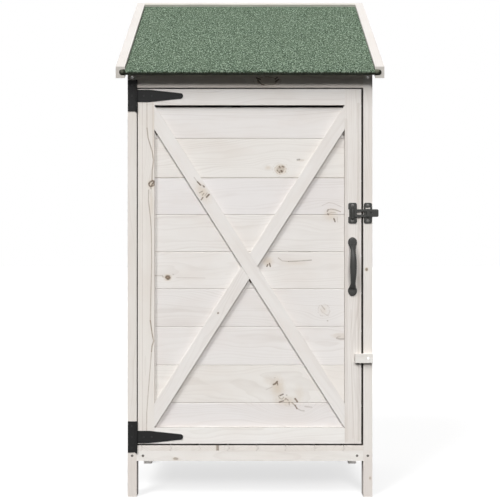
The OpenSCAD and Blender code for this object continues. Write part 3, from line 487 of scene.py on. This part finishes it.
BOARD_MARKS = {
    "a line from stile to stile": [Line((155, 177.4, 344, 177.4), 0.0012, 0.40, 0.5)],
    # Painted shade: dark wedges in the corners under the braces' ends at the stiles
    "painted shade where the braces meet the stiles": [
        Line((344.0, 128.5, 343.4, 135), 0.0030, 0.7, 0.9),
        Line((154.0, 129.2, 157.2, 134.0), 0.0034, 0.95, 1.0)],
    "knots near the top, one with rings": [
        Knot(280.4, 169.3, 0.0115, 0.0105, 0.45, 0.75, 2.1, 0.6, 0.5),
        Knot(267.9, 167.8, 0.009, 0.006, 0.0, 0.6, 1.8),
        Knot(301.5, 160.2, 0.010, 0.003, 0.12, 0.3, 1.6, 0.3),
        Line((279.2, 166.4, 279.8, 167.4), 0.0020, 0.85, 0.5),
        Line((282.0, 166.0, 284.0, 167.0), 0.0018, 0.85, 0.6),
        Line((281.2, 170.9, 281.8, 171.8), 0.0028, 0.95, 0.8),
        Line((277.1, 170.0, 277.5, 171.0), 0.0019, 0.80, 0.5),
        Line((278.9, 172.0, 279.7, 172.6), 0.0020, 0.85, 0.6),
        Line((297.2, 159.8, 299.4, 159.4), 0.0024, 0.55, 0.9)],
    "the knot on the right, in curved lines": [
        Knot(330.5, 214.5, 0.018, 0.016, 0.0, 0.6, 1.9),
        Line((333.8, 218.6, 334.9, 221.5), 0.0023, 0.95, 0.7),
        Line((337, 217, 337.5, 222), 0.0012, 0.30, 0.0),
        Line((327.8, 209.8, 330.9, 209, 335.2, 209.8, 340.4, 211.7), 0.0016, 0.60, 0.2),
        Line((322, 205.5, 328.5, 202.6, 333, 203.2, 341, 206.6), 0.0012, 0.30, 0.2),
        Line((328.3, 213.6, 331.4, 212.4, 335.2, 212.6), 0.0013, 0.40, 0.1),
        Line((327.3, 211.2, 327.9, 209.9), 0.0022, 0.65, 0.5),
        Line((327.5, 213.6, 328.3, 214.6), 0.0022, 0.70, 0.5)],
    "the knot right of the crossing and its long tail": [
        Knot(267.5, 261.5, 0.014, 0.012, 0.0, 0.8, 1.9), Knot(295, 263, 0.045, 0.008, 0.0, 0.3, 1.5),
        Line((266.8, 266.2, 267.6, 264.6), 0.0022, 0.90, 0.7),
        Line((269.4, 263.4, 270.2, 266.4), 0.0022, 0.90, 0.7),
        Line((278.2, 257.9, 282, 260.8, 288.2, 261.4), 0.0014, 0.45, 0.2),
        Line((288.2, 261.4, 296, 261.1, 304, 260.6, 311.4, 260), 0.0014, 0.60, 0.6),
        Line((288, 251.6, 310, 251.6), 0.0014, 0.30, 0.5)],
    "the round brown knot on the left": [
        Knot(167.6, 277.4, 0.0078, 0.0072, 0.95, 0.8, 2.0, 0.1),
        Line((169.4, 277.5, 170.0, 277.6), 0.0022, 0.75, 0.6),
        Line((162.2, 275.6, 163.0, 276.9), 0.0022, 0.40, 0.3),
        Line((172.8, 274.2, 173.5, 274.5), 0.0016, 0.30, 0.3),
        Line((155, 275.5, 161, 275.5), 0.0014, 0.35, 0.3),
        Line((176.2, 277.6, 205, 277.9), 0.0013, 0.25, 0.2)],
    # Painted shade: a dark spot in the corner under the braces' crossing
    "painted shade under the braces' crossing": [Line((249.2, 278.6, 250.6, 282.2), 0.0030, 0.95, 1.0)],
    "the faint knot on the right": [
        Knot(323.5, 310, 0.012, 0.013, 0.0, 0.35, 1.8, 0.8, 0.3),
        Line((321.5, 305.5, 324.5, 309.3), 0.0018, 0.40, 0.4),
        Line((327.2, 320.6, 327.7, 320.8), 0.0018, 0.45, 0.4),
        Line((320.5, 309, 322, 312, 328, 316, 330, 311), 0.0012, 0.25, 0.1)],
    "the streak beside the right stile": [
        Knot(339, 335.5, 0.018, 0.006, 0.06, 0.3, 1.8, 0.5),
        Line((336.8, 338.1, 340.0, 339.0, 344.6, 338.6), 0.0030, 0.45, 0.4),
        Line((337.6, 336.3, 340, 336.2), 0.0020, 0.22, 0.3)],
    "the cluster of knots near the bottom": [
        Knot(277.5, 387, 0.018, 0.028, 0.0, 0.8, 1.8), Knot(286, 401, 0.026, 0.013, 0.0, 0.6, 1.8),
        Knot(299, 394, 0.014, 0.024, 0.0, 0.35, 1.7), Knot(268, 380, 0.014, 0.012, 0.0, 0.3, 1.7),
        Line((273.4, 384.4, 275.0, 383.8, 277, 381.5), 0.0026, 0.95, 0.7),
        Line((277, 382, 277.6, 384.8), 0.0020, 0.85, 0.6),
        Line((280, 395.3, 282.9, 394.2), 0.0021, 0.95, 0.8),
        Line((279.2, 402, 283.4, 400.7), 0.0020, 0.80, 0.9),
        Line((278.4, 395.8, 279.6, 398.2, 282.0, 398.9, 283.6, 397), 0.0015, 0.50, 0.4),
        Line((284.9, 399.6, 285.6, 398.3, 288.0, 400.2), 0.0018, 0.60, 0.4),
        Line((286.3, 395, 286.8, 395.1), 0.0018, 0.50, 0.4),
        Line((295.0, 398.6, 296.4, 400.4, 297.2, 401.7), 0.0026, 0.95, 0.6),
        Line((289.0, 402.2, 289.3, 404.8), 0.0020, 0.55, 0.4),
        Line((291.9, 402.6, 295.0, 405.4), 0.0020, 0.60, 0.4),
        Line((295.0, 405.4, 296.8, 408.4), 0.0021, 0.90, 0.6),
        Line((296.8, 408.4, 301.4, 410.6, 304, 410.8), 0.0018, 0.45, 0.4),
        Line((304.9, 406.3, 311.7, 407.2), 0.0022, 0.30, 0.4),
        Line((266, 389.5, 272, 387), 0.0016, 0.22, 0.3),
        Line((274.0, 377.7, 275.2, 377.6), 0.0014, 0.30, 0.1)]}


def dress(node, along, across, seed, marks=None, origin=None, **how):
    """Put wood on a CAD node, with what the photograph shows on it. Where origin is given, the marks
    come with their places on the board instead."""
    marks = marks or MARKS.get(node, [])
    if origin is None:
        low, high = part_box(node)
        origin = (low + high) / 2

        def on_board(px, py):
            x, z = seen_at(px, py, low.y - FRONT)
            at = Vector((x, 0, z)) - origin
            return at.dot(along), at.dot(across)

        marks = [mark.moved(on_board) for mark in marks]
    put_on(node, wood("wood_" + node, along, across, origin, seed, marks, **how), 0.0005)


LEG = (0.09, 0.165, 0.20)
BARGE = dict(strength=0.8, paint=(219, 215, 211))
SIDE_X, BACK_POST_Y, RAIL_Z = 0.368, 0.2385, 0.147
# Where a direction follows low, the faces towards it close the door's gaps and take painted shade
dress("front_post_left", Z, X, 1.3, strength=0.8, pith=0.02, depth=0.035, paint=(229, 224, 218),
      low=LEG, dusty=X)
dress("front_post_right", Z, X, 5.1, strength=0.8, pith=-0.03, depth=0.03, paint=(232, 227, 222),
      low=LEG, dusty=-X)
dress("back_post_left", Z, X, 9.4, [Knot(0.21, 0.003, 0.008, 0.006, 0.8)],
      origin=Vector((-SIDE_X, BACK_POST_Y, 0.8)))
dress("back_post_right", Z, X, 12.9, [Knot(-0.37, -0.004, 0.007, 0.005)],
      origin=Vector((SIDE_X, BACK_POST_Y, 0.8)))
dress("sill_front", X, Z, 17.2, pith=0.01, strength=0.8, paint=(236, 232, 227))
dress("header_front", X, Z, 21.7, pith=-0.01, paint=(226, 218, 210), dusty=-Z)
dress("bottom_rail_left", Y, Z, 25.2)
dress("bottom_rail_right", Y, Z, 29.8, [Knot(0.08, 0.012, 0.012, 0.008)],
      origin=Vector((SIDE_X, 0.0135, RAIL_Z)))
dress("bottom_rail_back", X, Z, 33.1, [Knot(-0.19, -0.01, 0.013, 0.008)], origin=Vector((0, 0.247, RAIL_Z)))
dress("top_rail_left", SLOPE, ROOF_UP, 37.9)
dress("top_rail_right", SLOPE, ROOF_UP, 41.3)
dress("top_rail_back", X, Z, 45.6)
dress("rafter_middle", SLOPE, ROOF_UP, 49.2)
dress("floor_bearer_middle", X, Z, 53.7)
dress("floor_bearer_back", X, Z, 57.4)
dress("barge_board_left", SLOPE, ROOF_UP, 61.5, end=0.9, **BARGE)
dress("barge_board_right", SLOPE, ROOF_UP, 65.9, end=0.95, **BARGE)
dress("roof_back_batten", X, ROOF_UP, 69.1, paint=(215, 212, 204))
WALL = dict(cover=0.118, strength=1.1, origin=Z * FLOOR_TOP)
dress("side_boards_left", Y, Z, 73.3, [
    Knot(-0.09, 0.176, 0.015, 0.010), Knot(0.12, 0.53, 0.008, 0.006), Knot(-0.02, 0.79, 0.012, 0.009, 0.8),
    Knot(0.15, 1.13, 0.010, 0.007)], dusty=-Y, **WALL)
dress("side_boards_right", Y, Z, 77.6, [
    Knot(0.06, 0.31, 0.011, 0.008), Knot(-0.11, 0.66, 0.014, 0.010, 0.8), Knot(0.10, 0.93, 0.007, 0.005)],
    dusty=-Y, **WALL)
dress("back_boards", X, Z, 81.4, [
    Knot(-0.20, 0.29, 0.015, 0.011), Knot(0.14, 0.56, 0.012, 0.008), Knot(0.26, 0.88, 0.009, 0.007),
    Knot(-0.05, 1.12, 0.016, 0.011, 0.8), Knot(-0.27, 1.25, 0.008, 0.006)], **WALL)
dress("floor_boards", Y, X, 85.7, [
    Knot(-0.1, 0.24, 0.012, 0.009), Knot(0.07, 0.50, 0.010, 0.007), Knot(-0.233, 0.2385, 0.006, 0.004, 0.8)],
    origin=Vector((-0.34, 0, FLOOR_TOP)), cover=0.0903, paint=(236, 230, 224), end=0.05, dusty=Z * 1.25)
dress("roof_boards", X, SLOPE, 89.2, [Knot(0.17, 0.14, 0.012, 0.009), Knot(-0.21, 0.41, 0.014, 0.010)],
      origin=ROOF_START + SLOPE * DECK_START, cover=0.0925)

dress("door_stile_left", Z, X, 93.4, pith=0.005, depth=0.012, wander=0.012, paint=(232, 227, 221), dusty=-X)
dress("door_stile_right", Z, X, 97.8, pith=-0.02, depth=0.02, wander=0.015, paint=(232, 227, 222),
      dusty=X, narrow=-X)
dress("door_rail_top", X, Z, 101.5, pith=0.03, depth=0.02, strength=0.8, dusty=Z)
dress("door_rail_bottom", X, Z, 105.3, pith=-0.03, depth=0.03, strength=0.6, paint=(240, 237, 233),
      dusty=-Z, narrow=Z)
# Each board of the door takes what lies on it or runs over its edges
for number in range(1, 10):
    board = "door_plank_%d" % number
    low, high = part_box(board)

    def touches(px, py, reach):
        return low.z - reach < seen_at(px, py, low.y - FRONT)[1] < high.z + reach

    dress(board, X, Z, 110.3 + 7.1 * number,
          [mark for marks in BOARD_MARKS.values() for mark in marks if mark.meets(touches)],
          pith=0.02 * math.sin(2.4 * number), depth=0.028 + 0.02 * math.cos(1.7 * number), strength=0.75,
          paint=(WASH[0] + number % 3 - 1, WASH[1] + number % 3 - 1, WASH[2] + number % 2))

# How far the braces dip from level, by the long one's box and its width
BRACE_W = 0.041
low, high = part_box("door_brace_long")
width, tall = high.x - low.x, high.z - low.z
DOWN = math.acos(BRACE_W / math.hypot(width, tall)) - math.atan2(width, tall)
for brace, side, seed in (
        ("door_brace_long", 1, 181.2), ("door_brace_upper", -1, 187.7), ("door_brace_lower", -1, 191.9)):
    along = Vector((side * math.cos(DOWN), 0, -math.sin(DOWN)))
    up = Vector((side * math.sin(DOWN), 0, math.cos(DOWN)))
    # The braces' upper sides take a little painted shade, so that they throw less light onto the boards
    dress(brace, along, Y.cross(along), seed, strength=0.6, pith=0.01, narrow=up)
dress("turn_button", X, Z, 197.3, strength=0.5, paint=(233, 230, 225))

# Iron and steel
hinge_black = iron("hinge_black", srgb(24, 24, 24), 0.55, specular=0.18)
cast_black = iron("cast_black", srgb(45, 45, 43), 0.45, grain=420.0, bump=0.2)
screw_black = iron("screw_black", srgb(30, 30, 30), 0.5, specular=0.25)
screw_grey = iron("screw_grey", srgb(104, 103, 100), 0.38, worn=0.15, specular=0.5)
zinc = steel("zinc", srgb(236, 236, 234), 0.28)
# A darker copy of the same zinc for the screws low on the legs: painted shade
zinc_shaded = steel("zinc_shaded", srgb(112, 108, 103), 0.5)
for material, group in (
        (hinge_black, ("hinge_plate_upper", "hinge_plate_lower", "hinge_pin_upper", "hinge_pin_lower",
                       "hinge_strap_upper", "hinge_strap_lower")),
        (cast_black, ("latch_keeper", "hasp_bracket", "hasp_arm", "latch_knob", "hasp_pin"))):
    for name in group:
        put_on(name, material, 0.0 if "pin" in name else 0.0004)


# Finer pieces that take the place of CAD nodes


def step(value, low, high):
    """0 below low, 1 above high, smooth between them."""
    t = max(0.0, min(1.0, (value - low) / (high - low)))
    return t * t * (3 - 2 * t)


def around(sides):
    """The angles of the points of a ring."""
    return [2 * math.pi * j / sides for j in range(sides)]


def skin(bm, rings):
    """A closed skin over rings of points. An end ring of one point is a tip, and another gets a cap."""
    rings = [[bm.verts.new(point) for point in ring] for ring in rings]
    made = []
    for first, second in zip(rings, rings[1:]):
        if len(first) == 1:
            first, second = second, first
        for j, vert in enumerate(first):
            k = (j + 1) % len(first)
            made.append(bm.faces.new((vert, first[k], second[0]) if len(second) == 1 else
                                     (vert, first[k], second[k], second[j])))
    for cap in (rings[0][::-1], rings[-1]):
        if len(cap) > 1:
            made.append(bm.faces.new(cap))
    return made


def add_piece(name, bm, materials, stands_for):
    """Turn bm into an object that takes the place of a CAD node, on that node's body."""
    mesh = bpy.data.meshes.new(name)
    bmesh.ops.recalc_face_normals(bm, faces=bm.faces)
    bm.to_mesh(mesh)
    bm.free()
    for material in materials:
        mesh.materials.append(material)
    for polygon in mesh.polygons:
        polygon.use_smooth = True
    mesh.set_sharp_from_angle(angle=math.radians(40))
    made = bpy.data.objects.new(name, mesh)
    scene.collection.objects.link(made)
    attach(made, body_of(nodes[stands_for])[0])
    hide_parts(stands_for)


# Screws, each with a cross recess in its head


def solids(node):
    """The box of each separate solid in a CAD node."""
    bm = bmesh.new()
    bm.from_mesh(nodes[node].data)
    bmesh.ops.remove_doubles(bm, verts=bm.verts, dist=1e-6)
    left = set(bm.verts)
    boxes = []
    while left:
        stack, group = [left.pop()], []
        while stack:
            vert = stack.pop()
            group.append(tuple(vert.co))
            for edge in vert.link_edges:
                other = edge.other_vert(vert)
                if other in left:
                    left.discard(other)
                    stack.append(other)
        boxes.append((Vector(map(min, zip(*group))), Vector(map(max, zip(*group)))))
    bm.free()
    return sorted(boxes, key=lambda box: (round(box[0].z, 4), round(box[0].x, 4)))


def recess(u, v):
    """How deep the cross recess is at a place on a head of radius 1, from 0 to 1."""
    arm = max((1 - step(abs(p), 0.42, 0.58)) * (1 - step(abs(q), 0.09, 0.19)) for p, q in ((u, v), (v, u)))
    return arm * (1 - 0.35 * step(math.hypot(u, v), 0.0, 0.6))


def screw(bm, box, shank, turn, slot_of):
    """One screw along Y, whose head's highest point is at the front of its box. A wide head is domed,
    and a small one is countersunk."""
    low, high = box
    middle = (low + high) / 2
    radius = min(high.x - low.x, high.z - low.z) / 2
    domed = radius > 0.0045
    sphere = 1.25 * radius

    def front(r, angle):
        u, v = r * math.cos(angle - turn) / radius, r * math.sin(angle - turn) / radius
        out = sphere - math.sqrt(sphere * sphere - r * r) if domed else 0.00025 * step(r / radius, 0.88, 1.0)
        return low.y + out + 0.34 * radius * recess(u, v)

    def ring(r, depth_at):
        return [(middle.x + r * math.cos(angle), depth_at(angle), middle.z + r * math.sin(angle))
                for angle in around(40)]

    if domed:
        rim = low.y + sphere - math.sqrt(sphere * sphere - radius * radius) + 0.0001
        stem = [(radius, rim), (shank, rim)]
    else:
        stem = [(shank, low.y + radius - shank)]
    stem += [(shank, high.y - 1.5 * shank), (0.25 * shank, high.y)]
    head = [ring(radius * k / 10, lambda angle: front(radius * k / 10, angle)) for k in range(1, 11)]
    rings = [[(middle.x, front(0, 0), middle.z)], *head, *(ring(r, lambda angle: y) for r, y in stem),
             [(middle.x, high.y, middle.z)]]
    for face in skin(bm, rings[::-1]):
        face.material_index = slot_of(middle)


rng = random.Random(11)
# The heights that part the latch's screws from the handle's, and the legs' screws from the others
LATCH_FOOT, LEG_TOP = 0.82, 0.5
for node, shank, materials, slot_of, slot in (
        ("plate_screws", 0.0019, [screw_black], lambda at: 0, "black_iron"),
        ("strap_screws", 0.0019, [screw_black], lambda at: 0, "black_iron"),
        ("keeper_screws", 0.0022, [screw_grey], lambda at: 0, "black_iron"),
        ("stile_screws", 0.0020, [screw_grey, screw_black], lambda at: int(at.z <= LATCH_FOOT), "black_iron"),
        ("turn_button_screw", 0.0024, [zinc], lambda at: 0, "bright_steel"),
        # The legs' screws take the darker copy of the zinc: painted shade
        ("frame_screws", 0.0022, [zinc_shaded, zinc], lambda at: int(at.z >= LEG_TOP), "bright_steel")):
    bm = bmesh.new()
    for box in solids(node):
        screw(bm, box, shank, rng.uniform(0, math.pi / 2), slot_of)
    add_piece(node + "_crossed", bm, materials, node)

# The handle: round feet that run smoothly into a grip, as cast in one


def grip(middle, top):
    """The grip's cross-sections: an arch that swells at its middle and spreads at its ends. Top is
    where its outermost point is."""
    # Half the arch's length, and how far its ends' middle stands off the door
    half, start = 0.0665, 0.0035
    rise = FRONT - top - 0.006 - start
    rings = []
    for i in range(73):
        z = (i / 72 - 0.5) * 0.145
        far = abs(z) / half
        swell = math.sin(math.pi * max(0.0, min(1.0, 0.5 + z / (2 * half)))) ** 2
        wide = (0.015 + 0.0065 * swell) / 2 + 0.0045 * step(abs(z), 0.050, 0.070)
        deep = (0.009 + 0.003 * swell) / 2 + 0.0006 * step(abs(z), 0.050, 0.066)
        out = start + rise * (1 - far ** 4)
        slope = math.atan2(-4 * rise * far ** 3 * math.copysign(1, z) / half, 1)
        rings.append([(middle.x + wide * math.cos(angle),
                       FRONT - out - deep * math.sin(angle) * math.cos(slope),
                       middle.z + z - deep * math.sin(angle) * math.sin(slope)) for angle in around(32)])
    return rings


def foot(middle, radius):
    """An oval foot's rings, from the door outwards, with a rounded rim."""
    tall, thick = 16.5 / 14.3, 0.005
    return [[(middle.x + r * math.cos(angle), FRONT - out, middle.z + r * tall * math.sin(angle))
             for angle in around(48)]
            for r, out in ((radius, 0), (radius, thick - 0.0022), (radius - 0.0009, thick - 0.0011),
                           (radius - 0.0028, thick - 0.0004), (radius - 0.006, thick))]


def melted(bm):
    """The forms in bm run into one smooth skin, in a new bm."""
    mesh = bpy.data.meshes.new("handle_rough")
    bm.to_mesh(mesh)
    bm.free()
    rough = bpy.data.objects.new("handle_rough", mesh)
    scene.collection.objects.link(rough)
    remesh = rough.modifiers.new("skin", "REMESH")
    remesh.mode = "VOXEL"
    remesh.voxel_size = 0.0008
    even = rough.modifiers.new("even", "SMOOTH")
    even.factor = 0.6
    even.iterations = 14
    shape = bpy.data.meshes.new_from_object(rough.evaluated_get(bpy.context.evaluated_depsgraph_get()))
    bpy.data.objects.remove(rough)
    bpy.data.meshes.remove(mesh)
    bm = bmesh.new()
    bm.from_mesh(shape)
    bpy.data.meshes.remove(shape)
    return bm


def cast_handle():
    low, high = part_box("door_handle")
    middle = (low + high) / 2
    bm = bmesh.new()
    skin(bm, grip(middle, low.y))
    for foot_at in (-0.0755, 0.0755):
        skin(bm, foot(middle + Z * foot_at, (high.x - low.x) / 2))
    bmesh.ops.recalc_face_normals(bm, faces=bm.faces)
    bm = melted(bm)
    # Each foot is flat behind and has a dished seat for its screw
    seats = [box for box in solids("stile_screws") if box[0].z < LATCH_FOOT]
    for vert in bm.verts:
        if vert.co.y > FRONT - 0.0012:
            vert.co.y = FRONT
        for first, last in seats:
            r = math.hypot(vert.co.x - (first.x + last.x) / 2, vert.co.z - (first.z + last.z) / 2)
            if r < 0.006 and vert.co.y < FRONT - 0.002:
                vert.co.y = max(vert.co.y, first.y - 0.0002 - max(0.0, r - 0.0038) * 1.1)
    add_piece("door_handle_cast", bm, [cast_black], "door_handle")


cast_handle()

# The felt: one sheet over the boards, round their front edge and under it, slightly uneven


def felt_section(x):
    """One cross-section of the sheet at x, as a closed ring: its outer side from the back over the
    boards, round their front edge and loosely under it, then its inner side back."""
    thick, bulge, tuck = 0.0025, 0.0075, 0.028
    points = []
    for i in range(29):
        u = DECK_END + (DECK_START - DECK_END) * (i / 28) ** 0.8
        wave = noise.noise(Vector((x * 9, u * 7, 0.3))) * 0.0004
        wave += noise.noise(Vector((x * 60, u * 40, 4.1))) * 0.0002
        calm = step(DECK_END - u, 0, 0.04) * step(u - DECK_START, 0, 0.02)
        points.append((u, DECK_T + thick + wave * calm))
    ragged = (noise.noise(Vector((x * 75, 2.7, 0.4))) + noise.noise(Vector((x * 190, 7.7, 0.4)))) / 2
    loose = 0.0016 + 0.0009 * ragged
    for i in range(1, 14):
        angle = math.radians(90 + 180 * i / 14)
        r = bulge - 0.0004 * step(i, 0, 4) - (0.0005 + 0.0005 * ragged) * math.sin(math.pi * i / 14)
        r += step(i, 4, 13) * loose
        points.append((DECK_START + r * math.cos(angle), DECK_T / 2 + r * math.sin(angle)))
    for i in range(5):
        t = i / 4
        points.append((DECK_START + 0.0008 + (tuck - 0.0008) * t, -thick - (1 - t) * (1 - t) * loose))
    for i in range(5):
        points.append((DECK_START + tuck * (1 - i / 4), 0.0))
    for i in range(1, 10):
        angle = math.radians(270 - 180 * i / 10)
        points.append((DECK_START + DECK_T / 2 * math.cos(angle), DECK_T / 2 * (1 + math.sin(angle))))
    for i in range(9):
        points.append((DECK_START + (DECK_END - DECK_START) * i / 8, DECK_T))
    return [X * x + ROOF_START + SLOPE * u + ROOF_UP * v for u, v in points]


def roll_end(side):
    """The rings of the rolled front edge's end, which reaches out over the barge board's front end."""
    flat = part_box("barge_board_left")[0].y - 0.0004
    longer = 1.25 if side < 0 else 1.40
    rings = []
    for reach, size in ((0.0, 1.0), (0.004, 1.0), (0.007, 0.98), (0.0095, 0.9), (0.0118, 0.76),
                        (0.0132, 0.55), (0.014, 0.3)):
        ring = []
        for angle in around(28):
            y, z = math.cos(angle), math.sin(angle)
            lump = 1 + 0.05 * noise.noise(Vector((side * 3 + reach * 160, y * 2, z * 2)))
            deep = min(0.0075, 0.0073 * size * lump)
            tall = (0.0083 if angle < math.pi else 0.0100) * size * lump
            at = ROLL + Vector((side * (DECK_HALF + reach * longer), y * deep, z * tall))
            at.y = min(at.y, flat)
            ring.append(at)
        rings.append(ring)
    return rings


bm = bmesh.new()
skin(bm, [felt_section(DECK_HALF * (2 * i / 154 - 1)) for i in range(155)])
for side in (-1, 1):
    skin(bm, roll_end(side))
add_piece("roof_felt_sheet", bm, [felt()], "roof_felt")

# The studio: a pale floor, a white surround, two lamps as key light from the upper left, and a fill


def floor_paint(seen, glow, lit):
    """Pale where the camera or a reflection sees it, and dark for the light that it sends back."""
    n = Net(bpy.data.materials.new("studio_floor"))
    pale = n.node("ShaderNodeBsdfDiffuse", {"Color": (seen, seen, seen, 1)})
    light = n.node("ShaderNodeEmission", {"Color": (1, 1, 1, 1), "Strength": glow})
    both = n.node("ShaderNodeAddShader", {0: pale.outputs[0], 1: light.outputs[0]})
    back = n.node("ShaderNodeBsdfDiffuse", {"Color": (lit, lit, lit, 1)})
    return n.show(n.node("ShaderNodeMixShader", {0: n.direct(), 1: back.outputs[0], 2: both.outputs[0]}))


def surround():
    """White where it is seen. Its light comes mostly from overhead, as from a bright ceiling, and a
    little from behind, so that the back isn't left in the dark."""
    n = Net(bpy.data.worlds.new("studio"), "ShaderNodeOutputWorld")
    toward = n.node("ShaderNodeSeparateXYZ", {0: n.node("ShaderNodeTexCoord").outputs["Generated"]}).outputs
    light = n.add(n.span(toward[2], 0.0, 0.9, 0.04, 0.47), n.span(toward[1], 0.0, 0.9, 0.0, 0.30))
    dim = n.node("ShaderNodeBackground", {0: (1, 1, 1, 1), 1: light})
    white = n.node("ShaderNodeBackground", {0: (1, 1, 1, 1), 1: 1.0})
    return n.show(n.node("ShaderNodeMixShader", {0: n.direct(), 1: dim.outputs[0], 2: white.outputs[0]}))


def sun(name, toward, strength, angle):
    """A lamp whose light comes from the direction toward."""
    data = bpy.data.lights.new(name, "SUN")
    data.energy = strength
    data.angle = math.radians(angle)
    lamp = bpy.data.objects.new(name, data)
    lamp.rotation_euler = Vector(toward).to_track_quat("Z", "Y").to_euler()
    lamp.location = Vector(toward) * 4
    scene.collection.objects.link(lamp)


bpy.ops.mesh.primitive_plane_add(size=60, location=(0, 0, 0))
floor = bpy.context.object
floor.name = "studio_floor"
floor.data.materials.append(floor_paint(seen=0.40, glow=0.70, lit=0.06))
scene.world = surround()

sun("key_high", (-0.72, -1.0, 1.60), 0.95, 16)
sun("key_low", (-0.675, -1.0, 0.93), 0.87, 16)
sun("fill", (0.11, -1.0, 0.56), 1.71, 15)

camera_data = bpy.data.cameras.new("camera")
camera_data.sensor_width = 36
camera_data.lens = 68.2
camera_data.shift_y = -0.01
camera = bpy.data.objects.new("camera", camera_data)
camera.location = (0, FRONT - CAMERA_FAR, CAMERA_HIGH)
camera.rotation_euler = (math.radians(90), 0, 0)
scene.collection.objects.link(camera)
scene.camera = camera
scene.view_settings.view_transform = "Standard"
